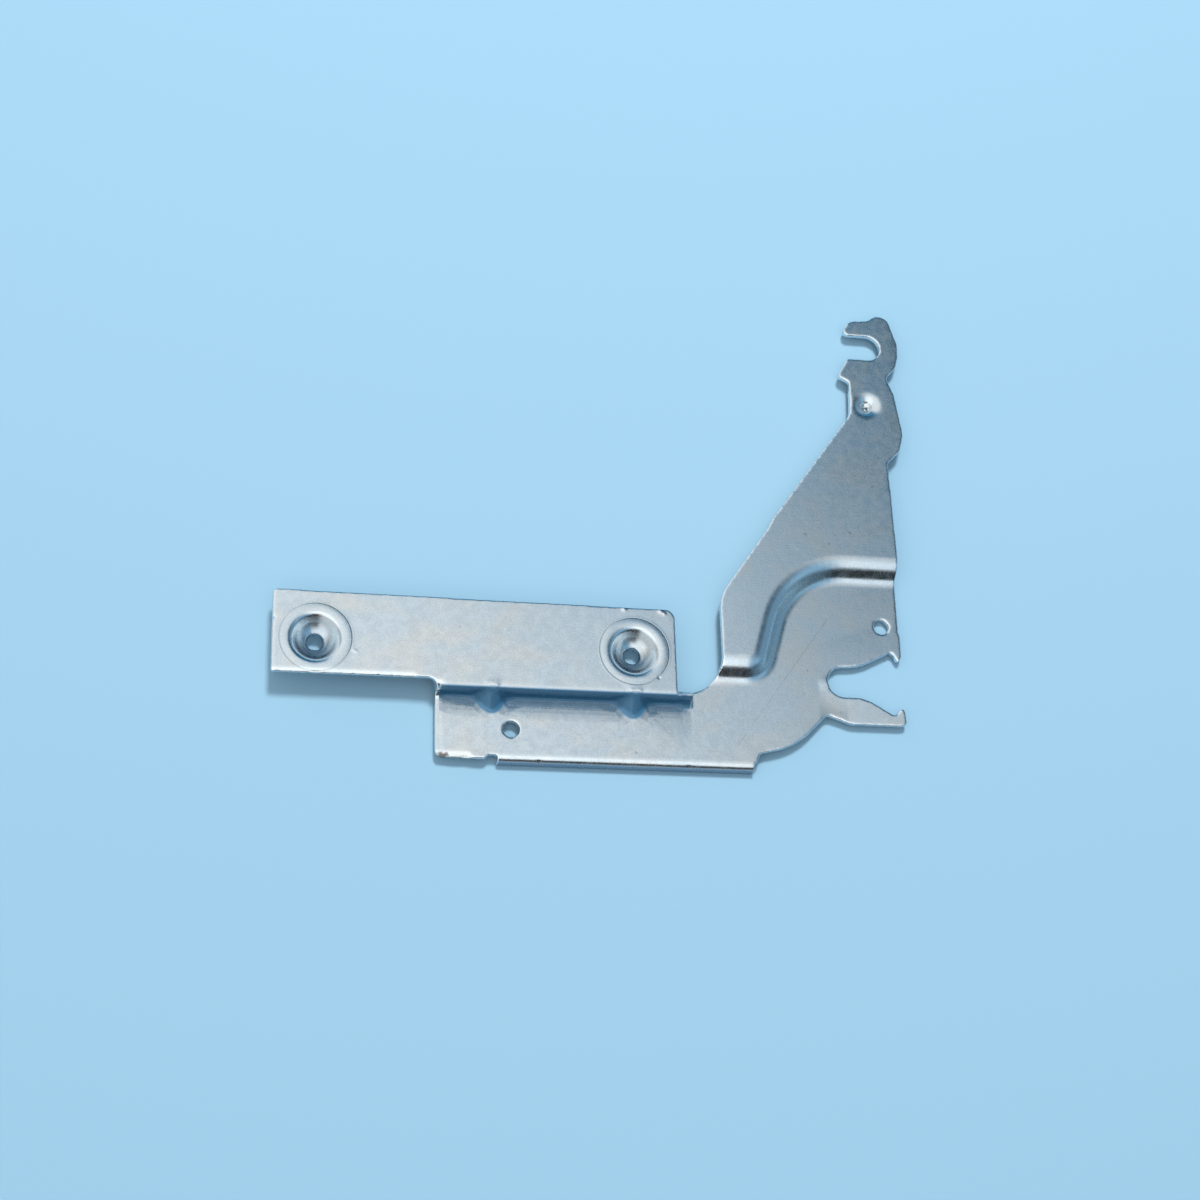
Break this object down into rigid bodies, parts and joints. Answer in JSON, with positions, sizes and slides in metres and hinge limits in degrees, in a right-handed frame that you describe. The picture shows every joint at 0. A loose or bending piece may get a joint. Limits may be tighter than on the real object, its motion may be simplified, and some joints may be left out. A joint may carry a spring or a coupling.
{
  "type": "dishwasher door hinge arm",
  "caption": "Flat stamped steel hinge arm with a stepped L shape, a raised screw plate with sunk screw cups, a forked pivot mouth, a turned-down lip and a hooked arm end.",
  "frame": {"origin": "on the axis of the left screw hole, level with the underside of the screw cups, 1.4 mm above the underside of the lower bar", "axes": "+X runs through both screw holes towards the fork, +Y runs up the arm towards its hook, +Z points out of the wide faces on the side the screws go in"},
  "size_m": [0.1811, 0.141, 0.0092],
  "materials": {
    "zinc_plated_steel": "zinc-plated sheet steel, satin, with light scratches"
  },
  "bodies": {
    "root": {"hinge_arm": "zinc_plated_steel"}
  },
  "joints": []
}
